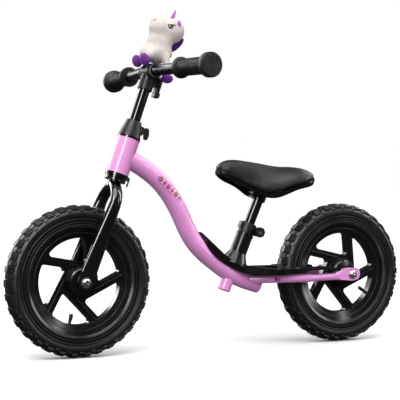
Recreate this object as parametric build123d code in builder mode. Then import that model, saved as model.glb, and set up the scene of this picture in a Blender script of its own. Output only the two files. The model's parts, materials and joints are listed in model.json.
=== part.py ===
"""Child's balance bike: two-wheeled ride-on with no pedals and a toy on the handlebar.

Millimetres, +Z up. The bike points toward -X, its left side is -Y and the ground is z = 0.
"""

import os
from math import cos, radians, sin

from build123d import *

os.makedirs("parts", exist_ok=True)

# ---- wheels ----
TYRE_R = 146.0
TYRE_HALF_W = 22.5
BEAD_R = 121.0
TYRE_SEAT_R = 113.0
RIM_HALF_W = 20.0
WINDOW_R = 83.0
HUB_R = 29.0
HUB_HALF_W = 20.0
HUB_COVER_R = 26.5
SPOKES = 5
SPOKE_W = 17.0
SPOKE_LEN = 100.0
SPOKE_OFFSET = 29.0
SPOKE_LEAN = 20.4
WEB_HALF_T = 8.0
WINDOW_CORNER_R = 6.0
FRONT_SPIN = -66.5
REAR_SPIN = 3.0
WHEELBASE = 589.3
AXLE_X = WHEELBASE / 2
AXLE_Z = TYRE_R
AXLE_R = 5.0
BEARING_R = 11.0
BEARING_OUT_Y = 27.0
BEARING_W = 8.0
RUNNING_GAP = 0.05

# ---- steering ----
HEAD_ANGLE = 70.9
HEAD_X = -215.3
HEAD_Z = 351.5
HEAD_LEN = 72.0
HEAD_R = 22.0
HEAD_BORE_R = 18.0
STEERER_R = 13.0
STEERER_TOP = 100.0
STEM_R = 11.0
STEM_FOOT = 22.0
BAR_W = 212.7
BAR_R = 11.0
BAR_STRAIGHT = 38.0
BAR_END_Y = 226.0
GRIP_IN_Y = 118.0
GRIP_OUT_Y = 231.0
GRIP_END_X = -128.4
GRIP_END_Z = 548.4
GRIP_CAP_R = 23.3
BLADE_Y = 37.0
BLADE_HALF_T = 4.0
STEER_LIMIT = 50.0

# ---- frame ----
TUBE_R = 18.0
TUBE_WALL = 2.0
STAY_R = 8.8
STAY_Y = 52.0
DROPOUT_HALF_T = 4.0
SEAM_X = 195.0

# ---- seat ----
SEAT_ANGLE = 66.5
SEAT_X = 19.1
SEAT_Z = 117.3
SEAT_TUBE_R = 13.5
SEAT_TUBE_TOP = 146.0
SLEEVE_TOP = 123.5
POST_R = 11.0
POST_FOOT = 72.0
STUB_BORE_R = 11.6
STUB_BORE_LEN = 24.0
POST_TOP = 214.0
SADDLE_FOAM = 13.0
SADDLE_SHELL_T = 3.5
COVER_LIFT = 9.0
SKIRT_INSET = 1.8

ha = radians(HEAD_ANGLE)
sa = radians(SEAT_ANGLE)
HEAD = Plane(origin=(HEAD_X, 0, HEAD_Z), x_dir=(sin(ha), 0, -cos(ha)), z_dir=(cos(ha), 0, sin(ha)))
SEAT = Plane(origin=(SEAT_X, 0, SEAT_Z), x_dir=(sin(sa), 0, -cos(sa)), z_dir=(cos(sa), 0, sin(sa)))
UP = (Align.CENTER, Align.CENTER, Align.MIN)
SIDES = (-1, 1)


def on(plane, u=0.0, y=0.0, w=0.0, turn=(0, 0, 0)):
    """Location u behind, y across and w along a steering or seat axis."""
    return plane.location * Location((u, y, w), turn)


def across(x, y, z):
    """Location of a cylinder whose axis lies across the bike."""
    return Location((x, y, z), (90, 0, 0))


def save(builder, name):
    builder.part.label = name
    export_step(builder.part, f"parts/{name}.step")


def capsule(a, b, r, mode=Mode.ADD):
    """Round-ended limb from a to b."""
    limb = Vector(*b) - Vector(*a)
    with Locations(Plane(origin=a, z_dir=limb).location):
        Cylinder(r, limb.length, align=UP, mode=mode)
    with Locations(a, b):
        Sphere(r, mode=mode)


# ---------------------------------------------------------------- wheels
def section(x):
    """Plane through the wheel axis: first axis across the bike, second axis radial."""
    return Plane(origin=(x, 0, AXLE_Z), x_dir=(0, 1, 0), z_dir=(1, 0, 0))


def side_plane(x, y):
    """Wheel face plane seen from the left side."""
    return Plane(origin=(x, y, AXLE_Z), x_dir=(1, 0, 0), z_dir=(0, -1, 0))


def spoke_spots(spin):
    """Middle of each swirl spoke: tangent to the hub, one every 72 degrees."""
    middle = SPOKE_LEN / 2
    turns = [spin + SPOKE_LEAN + k * 360 / SPOKES for k in range(SPOKES)]
    return [Location((0, 0, 0), (0, 0, t)) * Location((middle, -SPOKE_OFFSET, 0)) for t in turns]


def build_wheel(prefix, x, spin):
    axis = Axis((x, 0, AXLE_Z), (0, 1, 0))
    half = [(9, WINDOW_R), (17.5, 103), (RIM_HALF_W, 107), (RIM_HALF_W, BEAD_R), (17, BEAD_R)]
    half += [(17, TYRE_SEAT_R), (13, TYRE_SEAT_R), (12, 92), (0, 92)]
    ring = half + [(-y, r) for y, r in reversed(half[:-1])]

    with BuildPart() as rim:
        with BuildSketch(section(x)):
            Polygon(*ring, align=None)
        revolve(axis=axis)
        with Locations(across(x, 0, AXLE_Z)):
            Cylinder(WINDOW_R + 1, 2 * WEB_HALF_T)
        with BuildSketch(side_plane(x, WEB_HALF_T + 1)) as windows:
            Circle(WINDOW_R)
            Circle(HUB_R, mode=Mode.SUBTRACT)
            with Locations(*spoke_spots(spin)):
                Rectangle(SPOKE_LEN, SPOKE_W, mode=Mode.SUBTRACT)
            offset(amount=-WINDOW_CORNER_R, mode=Mode.REPLACE)
            offset(amount=WINDOW_CORNER_R, kind=Kind.ARC, mode=Mode.REPLACE)
        extrude(amount=2 * WEB_HALF_T + 2, mode=Mode.SUBTRACT)
        with Locations(across(x, 0, AXLE_Z)):
            Cylinder(HUB_R, 2 * HUB_HALF_W)
        for y in (-WEB_HALF_T, WEB_HALF_T + 2):
            with BuildSketch(side_plane(x, y)):
                with Locations(*spoke_spots(spin)):
                    Rectangle(78, 3)
            extrude(amount=2)
        with Locations(across(x, 0, AXLE_Z)):
            Cylinder(BEARING_R, 2 * HUB_HALF_W + 2, mode=Mode.SUBTRACT)
    save(rim, f"{prefix}_rim")

    with BuildPart() as tyre:
        flank = [(0, TYRE_R), (9, TYRE_R), (16, 143.5), (21, 138.5), (TYRE_HALF_W, 131), (21.3, 124)]
        flank += [(17, BEAD_R), (17, TYRE_SEAT_R)]
        loop = flank + [(-y, r) for y, r in reversed(flank[1:])]
        with BuildSketch(section(x)):
            Polygon(*loop, align=None)
        revolve(axis=axis)
    save(tyre, f"{prefix}_tyre")

    with BuildPart() as bearings:
        for side in SIDES:
            with Locations(across(x, side * (BEARING_OUT_Y - BEARING_W / 2), AXLE_Z)):
                Cylinder(BEARING_R, BEARING_W)
                Cylinder(AXLE_R + RUNNING_GAP, BEARING_W + 1, mode=Mode.SUBTRACT)
    save(bearings, f"{prefix}_bearings")

    with BuildPart() as covers:
        for side in SIDES:
            profile = [(side * 20, BEARING_R), (side * 20, HUB_COVER_R), (side * 23, HUB_COVER_R)]
            profile += [(side * 25.5, HUB_COVER_R - 3), (side * 26.5, BEARING_R + 4)]
            profile += [(side * 26.5, BEARING_R)]
            with BuildSketch(section(x)):
                Polygon(*profile, align=None)
            revolve(axis=axis)
    save(covers, f"{prefix}_hub_covers")

    with BuildPart() as valve:
        stub = Location((x, 0, AXLE_Z)) * Location((0, 0, 0), (0, 126 - spin, 0))
        with Locations(stub * Location((0, 0, 66))):
            Cylinder(3.2, WINDOW_R - 66 + 1, align=UP)
        with Locations(stub * Location((0, 0, 64))):
            Cylinder(3.8, 8, align=UP)
        with Locations(across(x, 0, AXLE_Z)):
            Cylinder(WINDOW_R, 60, mode=Mode.INTERSECT)
    save(valve, f"{prefix}_valve_stub")


def build_axle(prefix, x, plate_y, half_t):
    """Fixed axle, its spacers, washers and bolts, held by plates whose middles are at plate_y."""
    inner = plate_y - half_t
    outer = plate_y + half_t
    with BuildPart() as axle:
        with Locations(across(x, 0, AXLE_Z)):
            Cylinder(AXLE_R, 2 * outer)
    save(axle, f"{prefix}_axle")

    gap = 0.5
    length = inner - BEARING_OUT_Y - gap
    with BuildPart() as spacers:
        for side in SIDES:
            with Locations(across(x, side * (inner - length / 2), AXLE_Z)):
                Cylinder(8, length)
                Cylinder(AXLE_R, length + 1, mode=Mode.SUBTRACT)
    save(spacers, f"{prefix}_axle_spacers")

    with BuildPart() as washers:
        for side in SIDES:
            with Locations(across(x, side * (outer + 0.75), AXLE_Z)):
                Cylinder(10, 1.5)
    save(washers, f"{prefix}_axle_washers")

    with BuildPart() as bolts:
        for side in SIDES:
            profile = [(side * 1.5, 0), (side * 1.5, 7.5), (side * 4, 7.2), (side * 5.8, 5), (side * 6, 3)]
            profile += [(side * 3.2, 3), (side * 3.2, 0)]
            shifted = [(a + side * outer, r) for a, r in profile]
            with BuildSketch(section(x)):
                Polygon(*shifted, align=None)
            revolve(axis=Axis((x, 0, AXLE_Z), (0, 1, 0)))
    save(bolts, f"{prefix}_axle_bolts")


build_wheel("front", -AXLE_X, FRONT_SPIN)
build_wheel("rear", AXLE_X, REAR_SPIN)
build_axle("front", -AXLE_X, BLADE_Y, BLADE_HALF_T)
build_axle("rear", AXLE_X, STAY_Y, DROPOUT_HALF_T)

# ---------------------------------------------------------------- frame
tube_bends = [(-203, 387), (-137, 346.5), (-86, 284), (-48, 216), (4, 170.5), (98, 126.5)]


def tube_sweep(radius):
    """Solid rod along the main tube's double bend."""
    with BuildPart() as rod:
        with BuildLine(Plane.XZ) as line:
            Spline(*tube_bends, tangents=[(0.87, -0.49), (0.96, -0.27)])
        with BuildSketch(Plane(origin=line.line @ 0, z_dir=line.line % 0)):
            Circle(radius)
        sweep(path=line.line)
    return rod.part


tube_outside = tube_sweep(TUBE_R)
tube_inside = tube_sweep(TUBE_R - TUBE_WALL)

with BuildPart() as main_frame:
    add(tube_outside)
    add(tube_inside, mode=Mode.SUBTRACT)
    with Locations(on(HEAD)):
        Cylinder(HEAD_R, HEAD_LEN, align=UP)
    with Locations(on(SEAT)):
        Cylinder(SEAT_TUBE_R, SEAT_TUBE_TOP, align=UP)
    with BuildSketch(Plane(origin=(97, 0, 126.8), z_dir=(0.96, 0, -0.27))):
        Circle(TUBE_R)
    extrude(amount=2)
    with Locations(on(HEAD, w=-1)):
        Cylinder(HEAD_BORE_R, HEAD_LEN + 2, align=UP, mode=Mode.SUBTRACT)
    with Locations(on(SEAT, w=-1)):
        Cylinder(POST_R + RUNNING_GAP, SEAT_TUBE_TOP + 2, align=UP, mode=Mode.SUBTRACT)
    with Locations(on(SEAT, w=-1)):
        Cylinder(STUB_BORE_R, STUB_BORE_LEN + 1, align=UP, mode=Mode.SUBTRACT)
    with Locations(on(SEAT, u=SEAT_TUBE_R, w=SEAT_TUBE_TOP - 10)):
        Box(10, 2.5, 24, mode=Mode.SUBTRACT)
save(main_frame, "main_frame")

for side, name in ((-1, "left"), (1, "right")):
    with BuildPart() as stay:
        with BuildLine() as line:
            bends = [(72, side * 8, 138), (112, side * 33, 139.5), (SEAM_X, side * 49, 140)]
            Spline(*bends, tangents=[(1, side * 0.75, 0), (1, side * 0.05, 0)])
        with BuildSketch(Plane(origin=line.line @ 0, z_dir=line.line % 0)):
            Circle(STAY_R)
        sweep(path=line.line)
        add(tube_outside, mode=Mode.SUBTRACT)
        with Locations(Location((120, 0, 139.5), (90, 0, 0))):
            Cylinder(6, 140, mode=Mode.SUBTRACT)
    save(stay, f"{name}_chainstay")

    with BuildPart() as dropout:
        for x, half_h, half_t, z in ((SEAM_X, 8, 8, 140), (235, 7.4, 6, 141), (270, 9.5, 4, 143)):
            y = side * (49 + 3 * (x - SEAM_X) / 75)
            with BuildSketch(Plane(origin=(x, y, z), x_dir=(0, 1, 0), z_dir=(1, 0, 0))):
                Ellipse(half_t, half_h)
        loft()
        with BuildSketch(Plane.XZ.offset(-side * STAY_Y - DROPOUT_HALF_T)):
            with BuildLine():
                Polyline((262, 136), (268, 134), (AXLE_X, 131.5), (308, 134), (313, 141), (313, 151))
                Polyline((313, 151), (308, 157.5), (283, 158.5), (272, 152.5), (262, 149.5), (262, 136))
            make_face()
        extrude(amount=2 * DROPOUT_HALF_T)
        with Locations(across(AXLE_X, side * STAY_Y, AXLE_Z)):
            Cylinder(AXLE_R, 20, mode=Mode.SUBTRACT)
        add(stay.part, mode=Mode.SUBTRACT)
    save(dropout, f"{name}_dropout")

with BuildPart() as bridge:
    with Locations(Location((120, 0, 139.5), (90, 0, 0))):
        Cylinder(6, 76)
        Cylinder(4.5, 77, mode=Mode.SUBTRACT)
save(bridge, "stay_bridge")

with BuildPart() as footrest_screws:
    for side in SIDES:
        for x in (152, 245):
            with Locations((x, side * 47, 158.4)):
                Cylinder(4.2, 2, align=UP)
save(footrest_screws, "footrest_screws")

# moulded footrest: tongue over the main tube, plate behind the seat tube, two arms along the stays
plate_top = [(-36, 236), (-12, 211.5), (11, 192), (27, 180.5), (46, 172), (69, 166), (94, 162)]
plate_top += [(115, 160.5)]
plate_side = [(-33, 231), (-20, 198), (11, 172), (34, 160), (57, 151.5), (81, 148.5), (130, 150)]
plate_side += [(256, 151.5)]
with BuildPart() as footrest:
    with BuildSketch(Plane.XZ.offset(-70)):
        with BuildLine():
            top_edge = Spline(*plate_top)
            Line(top_edge @ 1, (250, 160.5))
            Line((250, 160.5), (256, 151.5))
            low_edge = Spline(*reversed(plate_side))
            Line(low_edge @ 1, top_edge @ 0)
        make_face()
    extrude(amount=140)
    with BuildSketch(Plane.XY.offset(100)):
        with BuildLine():
            rim_left = Spline((-36, -9), (-22, -18.5), (20, -20.5), (62, -34), (98, -55), (140, -61))
            Polyline(rim_left @ 1, (256, -61), (256, 61), (140, 61))
            rim_right = Spline((-36, 9), (-22, 18.5), (20, 20.5), (62, 34), (98, 55), (140, 61))
            Line(rim_right @ 0, rim_left @ 0)
        make_face()
        with Locations((200, 0)):
            Rectangle(140, 66, mode=Mode.SUBTRACT)
        with Locations((130, 0)):
            Circle(14, mode=Mode.SUBTRACT)
    extrude(amount=160, mode=Mode.INTERSECT)
    with Locations(on(SEAT, w=48)):
        Cylinder(17.4, SLEEVE_TOP - 48, align=UP)
    with Locations(on(SEAT, w=56)):
        Cone(30, 17.4, 26, align=UP)
    with Locations(on(SEAT, w=SLEEVE_TOP - 4)):
        Cylinder(18.2, 4, align=UP)
    add(tube_outside, mode=Mode.SUBTRACT)
    with Locations(on(SEAT)):
        Cylinder(SEAT_TUBE_R, 200, align=UP, mode=Mode.SUBTRACT)
    with Locations((160, 0, 139.5)):
        Box(200, 130, 19, mode=Mode.SUBTRACT)
    for side in SIDES:
        with Locations(*[(x, side * 47, 161.3) for x in range(166, 240, 6)]):
            Box(2.6, 22, 2.4)
    add(footrest_screws.part, mode=Mode.SUBTRACT)
save(footrest, "footrest")

# ---------------------------------------------------------------- headset and steering
with BuildPart() as lower_cup:
    with Locations(on(HEAD, w=-5.5)):
        Cylinder(23.5, 5.5, align=UP)
    with Locations(on(HEAD, w=-9)):
        Cylinder(21, 3.5, align=UP)
    with Locations(on(HEAD)):
        Cylinder(HEAD_BORE_R, 8, align=UP)
    with Locations(on(HEAD, w=-10)):
        Cylinder(16, 20, align=UP, mode=Mode.SUBTRACT)
save(lower_cup, "lower_headset_cup")

with BuildPart() as upper_cup:
    with Locations(on(HEAD, w=HEAD_LEN)):
        Cylinder(22.6, 3.4, align=UP)
    with Locations(on(HEAD, w=HEAD_LEN - 8)):
        Cylinder(HEAD_BORE_R, 8, align=UP)
    with Locations(on(HEAD, w=HEAD_LEN - 10)):
        Cylinder(16, 20, align=UP, mode=Mode.SUBTRACT)
save(upper_cup, "upper_headset_cup")

with BuildPart() as headset_bearings:
    for low in (-8.5, HEAD_LEN - 6):
        with Locations(on(HEAD, w=low)):
            Cylinder(16, 9, align=UP)
            Cylinder(STEERER_R + RUNNING_GAP, 20, mode=Mode.SUBTRACT)
save(headset_bearings, "headset_bearings")

with BuildPart() as stop_tab:
    with Locations(on(HEAD, u=25.2, w=-9.5)):
        Box(3, 11, 18)
    with Locations(on(HEAD, u=22, w=-7.5)):
        Box(9, 11, 2.4)
    with Locations(on(HEAD, w=-9.2)):
        Cylinder(23.6, 14.8, align=UP, mode=Mode.SUBTRACT)
    with Locations(on(HEAD, u=27.2, w=-11.5, turn=(0, 90, 0))):
        Cylinder(2.6, 1.6)
save(stop_tab, "steering_stop_tab")

with BuildPart() as crown_race:
    with Locations(on(HEAD, w=-12)):
        Cylinder(19.5, 2.5, align=UP)
        Cylinder(STEERER_R, 30, mode=Mode.SUBTRACT)
save(crown_race, "crown_race")

with BuildPart() as stop_plate:
    with Locations(on(HEAD, w=-14.6)):
        Cylinder(21.5, 2.6, align=UP)
    for turn in (STEER_LIMIT + 31, -STEER_LIMIT - 31):
        with Locations(on(HEAD, w=-14.6) * Location((0, 0, 0), (0, 0, turn)) * Location((23, 0, 0))):
            Box(9, 8, 2.6, align=UP)
    with Locations(on(HEAD, w=-15)):
        Cylinder(STEERER_R, 10, align=UP, mode=Mode.SUBTRACT)
save(stop_plate, "steering_stop_plate")

axle_from_head = Vector(-AXLE_X - HEAD_X, 0, AXLE_Z - HEAD_Z)
AXLE_U = axle_from_head.dot(HEAD.x_dir)
AXLE_W = axle_from_head.dot(HEAD.z_dir)
BEND_FOOT_W = -64.0
LEG_FOOT_W = -208.0


def head_point(u, y, w):
    return HEAD.from_local_coords((u, y, w))


with BuildPart() as fork:
    for side in SIDES:
        lean = Vector(AXLE_U, 0, AXLE_W - BEND_FOOT_W)
        with BuildLine() as line:
            down = HEAD.x_dir * lean.X + HEAD.z_dir * lean.Z
            outward = Vector(0, side * 0.75, 0) - HEAD.z_dir * 0.65
            knee = head_point(0, side * 24, -35)
            foot = head_point(0, side * BLADE_Y, BEND_FOOT_W)
            Spline(head_point(0, side * 4, -20), knee, foot, tangents=[outward, down])
        with BuildSketch(Plane(origin=line.line @ 0, x_dir=HEAD.x_dir, z_dir=line.line % 0)):
            Ellipse(12, 9)
        sweep(path=line.line)
        foot_u = AXLE_U * (BEND_FOOT_W - LEG_FOOT_W) / (BEND_FOOT_W - AXLE_W)
        for u, w, half_long, half_thick in ((0, BEND_FOOT_W + 2, 12.6, 9.6), (foot_u, LEG_FOOT_W, 16, 4.3)):
            with BuildSketch(Plane(head_point(u, side * BLADE_Y, w), HEAD.x_dir, HEAD.z_dir)):
                Ellipse(half_long, half_thick)
        loft()
        with Locations(on(HEAD, AXLE_U, side * BLADE_Y, AXLE_W, (90, 0, 0))):
            Cylinder(16, 2 * BLADE_HALF_T)
        with Locations(on(HEAD, AXLE_U + 0.3, side * BLADE_Y, AXLE_W + 9)):
            Box(31.6, 2 * BLADE_HALF_T, 18)
    with Locations(on(HEAD, w=-25)):
        Cylinder(STEERER_R, STEERER_TOP + 25, align=UP)
    with Locations(on(HEAD, w=-25)):
        Sphere(STEERER_R)
    with Locations(on(HEAD, w=-22)):
        Cylinder(STEM_R + RUNNING_GAP, 140, align=UP, mode=Mode.SUBTRACT)
    with Locations(on(HEAD, AXLE_U, 0, AXLE_W, (90, 0, 0))):
        Cylinder(AXLE_R, 100, mode=Mode.SUBTRACT)
save(fork, "fork")

# ---- height clamp on top of the head tube ----
LEVER_U = 17.5
LEVER_Y = -8.0
with BuildPart() as height_collar:
    with Locations(on(HEAD, w=76)):
        Cone(22.4, 15, 33, align=UP)
    with Locations(on(HEAD, u=13, y=LEVER_Y, w=87.4), on(HEAD, u=13, y=LEVER_Y, w=100.6)):
        Box(9, 8, 3)
    with Locations(on(HEAD, u=LEVER_U, y=LEVER_Y, w=87.4), on(HEAD, u=LEVER_U, y=LEVER_Y, w=100.6)):
        Cylinder(4, 3)
    with Locations(on(HEAD, u=LEVER_U, y=LEVER_Y, w=94)):
        Cylinder(5.2, 10.2, mode=Mode.SUBTRACT)
        Cylinder(2, 40, mode=Mode.SUBTRACT)
    with Locations(on(HEAD, w=70)):
        Cylinder(STEERER_R, STEERER_TOP - 70, align=UP, mode=Mode.SUBTRACT)
        Cylinder(STEM_R + 0.35, 60, align=UP, mode=Mode.SUBTRACT)
    with Locations(on(HEAD, u=17, y=6, w=92)):
        Box(14, 2, 40, mode=Mode.SUBTRACT)
save(height_collar, "height_clamp_collar")

with BuildPart() as collar_pin:
    with Locations(on(HEAD, u=LEVER_U, y=LEVER_Y, w=94)):
        Cylinder(2, 16.4)
save(collar_pin, "height_clamp_pin")

with BuildPart() as collar_lever:
    with Locations(on(HEAD, u=LEVER_U, y=LEVER_Y, w=94)):
        Cylinder(4, 9.4)
    with Locations(on(HEAD, u=LEVER_U + 5, y=LEVER_Y, w=94)):
        Box(10, 4.6, 9.4)
    with BuildSketch(Plane(HEAD.from_local_coords((0, LEVER_Y - 2.3, 0)), HEAD.x_dir, (0, 1, 0))) as paddle:
        with Locations((27, -98)):
            Circle(5.5)
        with Locations((29.8, -91)):
            Circle(4.8)
        with Locations((30, -84.5)):
            Circle(4.3)
        make_hull()
    extrude(amount=4.6)
    with Locations(on(HEAD, u=LEVER_U, y=LEVER_Y, w=94)):
        Cylinder(2 + RUNNING_GAP, 20, mode=Mode.SUBTRACT)
save(collar_lever, "height_clamp_lever")

# ---- stem, bar clamp and handlebar ----
with BuildPart() as stem:
    with Locations(on(HEAD, w=STEM_FOOT)):
        Cylinder(STEM_R, 198 - STEM_FOOT, align=UP)
        Cylinder(STEM_R - 1.8, 200 - STEM_FOOT, align=UP, mode=Mode.SUBTRACT)
save(stem, "stem_tube")

LATCH_U = 23.0
LATCH_W = 196.0
with BuildPart() as bar_clamp:
    with Locations(on(HEAD, w=174)):
        Cylinder(14.6, 30, align=UP)
    with Locations(on(HEAD, w=BAR_W, turn=(90, 0, 0))):
        Cylinder(15.2, 36)
    with Locations(on(HEAD, u=4, w=196)):
        Box(22, 27, 24)
    with Locations(on(HEAD, u=17.5, y=-11, w=LATCH_W), on(HEAD, u=17.5, y=11, w=LATCH_W)):
        Box(18, 4, 12)
    with Locations(on(HEAD, u=LATCH_U + 1, w=LATCH_W - 2)):
        Box(14, 17.6, 26, mode=Mode.SUBTRACT)
    with Locations(on(HEAD, u=LATCH_U, w=LATCH_W, turn=(90, 0, 0))):
        Cylinder(2, 40, mode=Mode.SUBTRACT)
    with Locations(on(HEAD, w=BAR_W, turn=(90, 0, 0))):
        Cylinder(BAR_R, 60, mode=Mode.SUBTRACT)
    with Locations(on(HEAD, w=170)):
        Cylinder(STEM_R, 28, align=UP, mode=Mode.SUBTRACT)
save(bar_clamp, "bar_clamp")

with BuildPart() as latch_pin:
    with Locations(on(HEAD, u=LATCH_U, w=LATCH_W, turn=(90, 0, 0))):
        Cylinder(2, 27)
save(latch_pin, "bar_clamp_pin")

with BuildPart() as latch:
    with Locations(on(HEAD, u=LATCH_U, w=LATCH_W, turn=(90, 0, 0))):
        Cylinder(5, 16.8)
    with Locations(on(HEAD, u=LATCH_U + 1.5, w=LATCH_W)):
        Box(8, 16.8, 27, align=(Align.CENTER, Align.CENTER, Align.MAX))
    with Locations(on(HEAD, u=LATCH_U + 2.75, w=LATCH_W - 28)):
        Box(10.5, 16.8, 9, align=UP)
    with Locations(on(HEAD, u=LATCH_U, w=LATCH_W, turn=(90, 0, 0))):
        Cylinder(2 + RUNNING_GAP, 40, mode=Mode.SUBTRACT)
save(latch, "bar_clamp_latch")

bar_middle = HEAD.from_local_coords((0, 0, BAR_W))


def bar_point(y):
    """Point on the handlebar: straight at the clamp, then swept back and slightly down."""
    reach = max(0, abs(y) - BAR_STRAIGHT) / (GRIP_OUT_Y - BAR_STRAIGHT)
    sweep_back = Vector(GRIP_END_X - bar_middle.X, 0, GRIP_END_Z - bar_middle.Z)
    return bar_middle + sweep_back * reach + Vector(0, y, 0)


with BuildPart() as handlebar:
    with BuildLine() as line:
        corners = [bar_point(y) for y in (-BAR_END_Y, -BAR_STRAIGHT, BAR_STRAIGHT, BAR_END_Y)]
        FilletPolyline(*corners, radius=90)
    with BuildSketch(Plane(origin=line.line @ 0, z_dir=line.line % 0)):
        Circle(BAR_R)
        Circle(BAR_R - 1.8, mode=Mode.SUBTRACT)
    sweep(path=line.line)
save(handlebar, "handlebar")

for side, name in ((-1, "left"), (1, "right")):
    start = bar_point(side * GRIP_IN_Y)
    aim = bar_point(side * GRIP_OUT_Y) - start
    grip_len = aim.length
    level = Vector(0, 0, 1).cross(aim)
    grip_plane = Plane(origin=start, x_dir=aim.cross(level), z_dir=level)
    with BuildPart() as grip:
        profile = [(BAR_R, 0), (18.5, 0), (20.4, 2.5), (20.4, 6), (18, 8.5), (14.6, 10), (14.6, 14)]
        profile += [(15.6, 45), (15.2, 88), (17, 94), (21.5, 97.5), (GRIP_CAP_R, 101)]
        profile += [(GRIP_CAP_R, grip_len - 3)]
        profile += [(21.5, grip_len), (0, grip_len), (0, grip_len - 4.8), (BAR_R, grip_len - 4.8)]
        with BuildSketch(grip_plane):
            Polygon(*profile, align=None)
        revolve(axis=Axis(start, aim))
        for k in range(18):
            with Locations(Plane(origin=start + aim.normalized() * (17 + 4 * k), z_dir=aim).location):
                Cylinder(16.4, 1.6)
                Cylinder(BAR_R, 2, mode=Mode.SUBTRACT)
    save(grip, f"{name}_grip")

# ---------------------------------------------------------------- seat
KNOB_U = 20.0
KNOB_W = 136.0
with BuildPart() as seat_collar:
    with Locations(on(SEAT, w=SLEEVE_TOP + 0.5)):
        Cylinder(16.6, 22, align=UP)
    with Locations(on(SEAT, u=20, y=-7.85, w=KNOB_W)):
        Box(13, 12.2, 15)
    with Locations(on(SEAT, u=20, y=4.4, w=KNOB_W)):
        Box(13, 5.2, 15)
    with Locations(on(SEAT, u=-17, w=KNOB_W + 2)):
        Box(5, 12, 14)
    with Locations(on(SEAT, u=20, w=KNOB_W)):
        Box(16, 3.5, 40, mode=Mode.SUBTRACT)
    with Locations(on(SEAT, w=100)):
        Cylinder(SEAT_TUBE_R, 80, align=UP, mode=Mode.SUBTRACT)
    with Locations(on(SEAT, u=KNOB_U, w=KNOB_W, turn=(90, 0, 0))):
        Cylinder(3, 60, mode=Mode.SUBTRACT)
save(seat_collar, "seat_clamp_collar")

with BuildPart() as seat_bolt:
    with Locations(on(SEAT, u=KNOB_U, y=-8, w=KNOB_W, turn=(90, 0, 0))):
        Cylinder(3, 30)
    with Locations(on(SEAT, u=KNOB_U, y=9, w=KNOB_W, turn=(90, 0, 0))):
        Cylinder(4.8, 4)
save(seat_bolt, "seat_clamp_bolt")

KNOB_Y = -19.3
with BuildPart() as seat_knob:
    with Locations(on(SEAT, u=KNOB_U, y=KNOB_Y, w=KNOB_W, turn=(90, 0, 0))):
        Cylinder(10.5, 10)
    for k in range(8):
        flute = on(SEAT, KNOB_U, KNOB_Y, KNOB_W, (90, 0, 0)) * Location((0, 0, 0), (0, 0, 45 * k))
        with Locations(flute * Location((11.8, 0, 0))):
            Cylinder(2.4, 14, mode=Mode.SUBTRACT)
    with Locations(on(SEAT, u=KNOB_U, y=KNOB_Y, w=KNOB_W, turn=(90, 0, 0))):
        Cylinder(3 + RUNNING_GAP, 40, mode=Mode.SUBTRACT)
save(seat_knob, "seat_clamp_knob")

with BuildPart() as post:
    with Locations(on(SEAT, w=POST_FOOT)):
        Cylinder(POST_R, POST_TOP - POST_FOOT, align=UP)
        Cylinder(POST_R - 1.8, POST_TOP - POST_FOOT - 3, align=UP, mode=Mode.SUBTRACT)
save(post, "seat_post")

# station along the bike, half width, crest height, hem height
saddle_stations = [(0.5, 9, 366, 353), (12, 19, 376.5, 347), (38, 26, 382, 334), (75, 34, 377, 316)]
saddle_stations += [(105, 47, 371.5, 304), (140, 62, 366.5, 314), (178, 66, 366.5, 326)]
saddle_stations += [(202, 53, 362, 334), (215, 28, 353, 339)]


def saddle_measure(x, column):
    """Straight interpolation of one column of the saddle stations."""
    for a, b in zip(saddle_stations, saddle_stations[1:]):
        if a[0] <= x <= b[0]:
            return a[column] + (b[column] - a[column]) * (x - a[0]) / (b[0] - a[0])


def saddle_form(inset, hem_drop):
    """Arched block through the saddle stations, shrunk by inset, its lower edge moved down."""
    places = [s[0] for s in saddle_stations]
    if inset:
        places = [x for x in places if inset + 6 < x < 209 - inset]
        places = [inset + 2] + places + [213 - inset]
    with BuildPart() as form:
        for x in places:
            half = saddle_measure(x, 1) - inset
            crest = saddle_measure(x, 2) - inset
            hem = saddle_measure(x, 3) - hem_drop
            high = crest - saddle_measure(x, 3)
            flank = [(half * 0.99, crest - 0.72 * high), (half * 0.8, crest - 0.25 * high)]
            flank += [(half * 0.42, crest - 0.04 * high)]
            with BuildSketch(Plane(origin=(x, 0, 0), x_dir=(0, 1, 0), z_dir=(1, 0, 0))):
                with BuildLine():
                    arch = [(half * 0.96, hem)] + flank + [(0, crest)]
                    arch += [(-y, z) for y, z in reversed(flank)] + [(-half * 0.96, hem)]
                    over = Spline(*arch)
                    Line(over @ 1, over @ 0)
                make_face()
        loft()
    return form.part


def below_cover(drop):
    """Block under the cover's lower edge, moved down by drop."""
    edge = [(x, hem + COVER_LIFT - drop) for x, half, crest, hem in saddle_stations]
    with BuildPart() as block:
        with BuildSketch(Plane.XZ.offset(-90)):
            Polygon((-20, 240), (-20, edge[0][1]), *edge, (240, edge[-1][1]), (240, 240), align=None)
        extrude(amount=180)
    return block.part


saddle_outside = saddle_form(0, 0)
foam_inside = saddle_form(SADDLE_FOAM, 70)
shell_outside = saddle_form(SADDLE_FOAM, 3)
shell_inside = saddle_form(SADDLE_FOAM + SADDLE_SHELL_T, 70)
skirt_outside = saddle_form(SKIRT_INSET, 0)
skirt_inside = saddle_form(SKIRT_INSET + SADDLE_SHELL_T, 8)
under_cover = below_cover(0)
under_ledge = below_cover(SADDLE_SHELL_T)

with BuildPart() as cushion:
    add(saddle_outside)
    add(foam_inside, mode=Mode.SUBTRACT)
    add(shell_outside, mode=Mode.SUBTRACT)
    add(under_cover, mode=Mode.SUBTRACT)
save(cushion, "saddle_cushion")

with BuildPart() as skirt_hollow:
    add(skirt_inside)
    add(under_ledge, mode=Mode.INTERSECT)

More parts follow.
